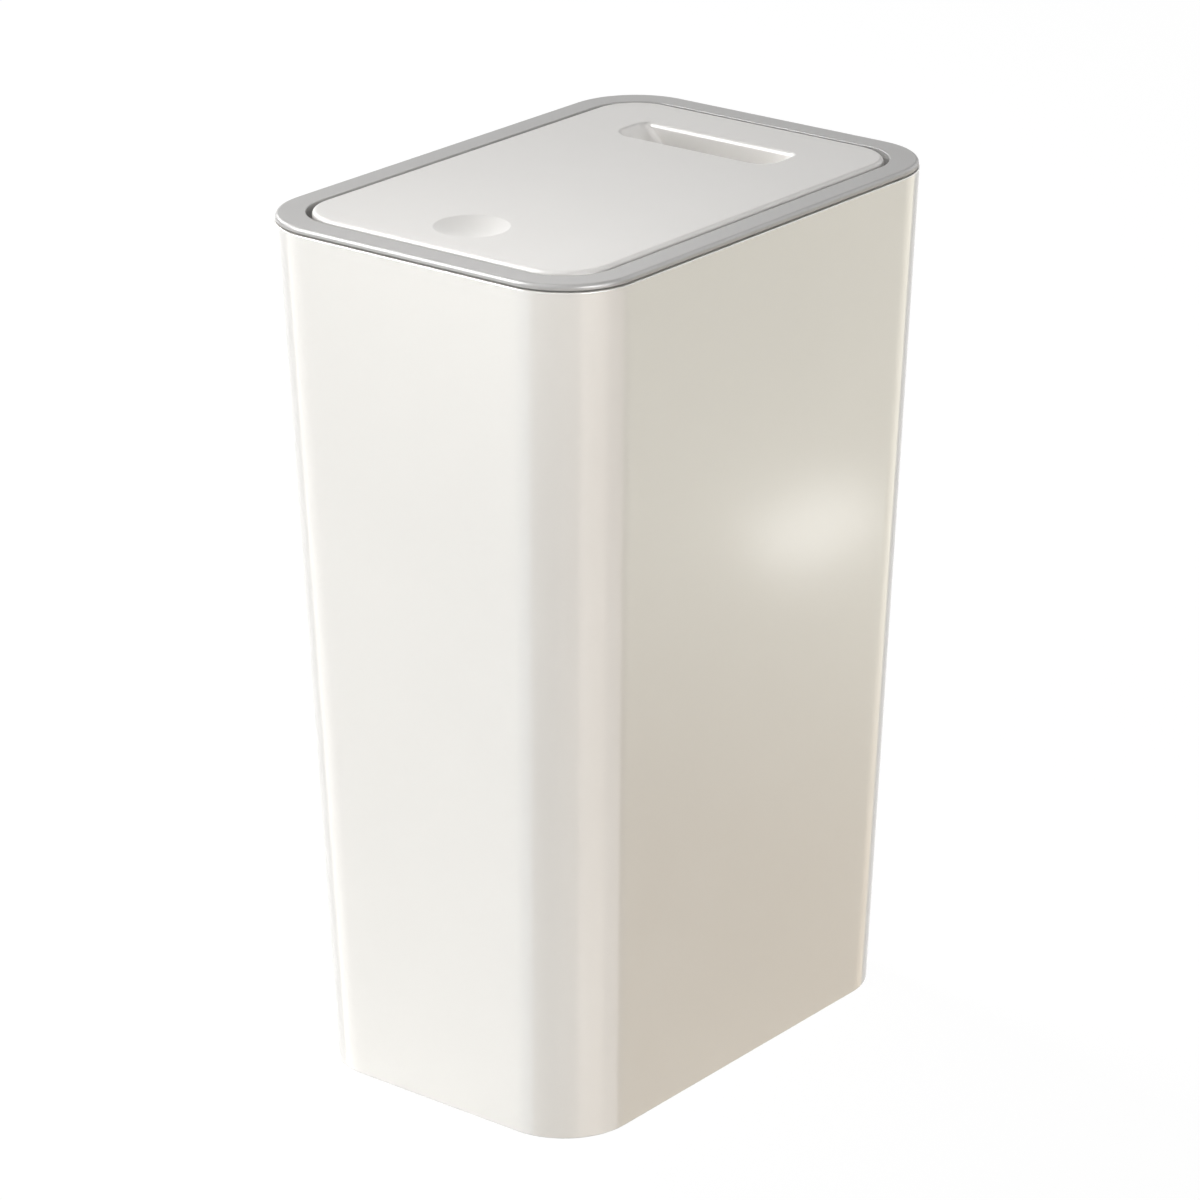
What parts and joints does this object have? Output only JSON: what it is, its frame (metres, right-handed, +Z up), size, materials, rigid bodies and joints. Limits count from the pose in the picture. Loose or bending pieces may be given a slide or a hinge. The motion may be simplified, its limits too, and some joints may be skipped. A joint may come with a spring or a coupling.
{
  "type": "press-open trash can",
  "caption": "Slim tapered kitchen trash can with a grey rim frame and a hinged lid that springs open at a press on its front dimple and has a finger grip at the back.",
  "frame": {"origin": "middle of the base, on the floor", "axes": "+Z up; -Y the front, with the press dimple and the latch; +Y the back, with the hinge and the finger grip; +X the right side seen from the front"},
  "size_m": [0.186, 0.2638, 0.4007],
  "materials": {
    "bucket_white": "fine satin moulding",
    "lid_white": "fine satin moulding",
    "liner_white": "plain moulding",
    "frame_grey": "satin moulding",
    "latch_grey": "plain acetal moulding",
    "steel": "zinc plated"
  },
  "bodies": {
    "bucket": {"bucket": "bucket_white"},
    "top_frame": {"top_frame": "frame_grey", "inner_frame": "frame_grey", "frame_screws": "steel", "hinge_pin_left": "steel", "hinge_pin_right": "steel", "hinge_spring_left": "steel", "hinge_spring_right": "steel", "latch_housing": "latch_grey", "latch_screws": "steel", "cam_wire": "steel", "latch_spring": "steel"},
    "lid": {"lid_cover": "lid_white", "lid_liner": "liner_white", "lid_screws": "steel", "striker": "latch_grey", "striker_screws": "steel"},
    "latch_carriage": {"latch_carriage": "latch_grey", "jaw_pins": "steel"},
    "latch_jaw_left": {"latch_jaw_left": "latch_grey"},
    "latch_jaw_right": {"latch_jaw_right": "latch_grey"}
  },
  "joints": [
    {"name": "frame_lift", "type": "slide", "parent": "bucket", "child": "top_frame", "axis": [0, 0, 1], "range_m": [0, 0.06]},
    {"name": "lid_hinge", "type": "hinge", "parent": "top_frame", "child": "lid", "pos_m": [0, 0.1056, 0.3964], "axis": [-1, 0, 0], "range_deg": [0, 80]},
    {"name": "latch_press", "type": "slide", "parent": "top_frame", "child": "latch_carriage", "axis": [0, 0, 1], "range_m": [-0.002, 0], "stiffness_N_per_m": 300, "springref_m": 0.006, "deforming": ["latch_spring"]},
    {"name": "jaw_left_swing", "type": "hinge", "parent": "latch_carriage", "child": "latch_jaw_left", "pos_m": [-0.0062, -0.1042, 0.3725], "axis": [0, 1, 0], "range_deg": [0, 9.5]},
    {"name": "jaw_right_swing", "type": "hinge", "parent": "latch_carriage", "child": "latch_jaw_right", "pos_m": [0.0062, -0.1042, 0.3725], "axis": [0, -1, 0], "range_deg": [0, 9.5]}
  ],
  "couplings": [
    {"joint": "jaw_left_swing", "follows": "latch_press", "rad_per_m": -82.9},
    {"joint": "jaw_right_swing", "follows": "latch_press", "rad_per_m": -82.9}
  ]
}
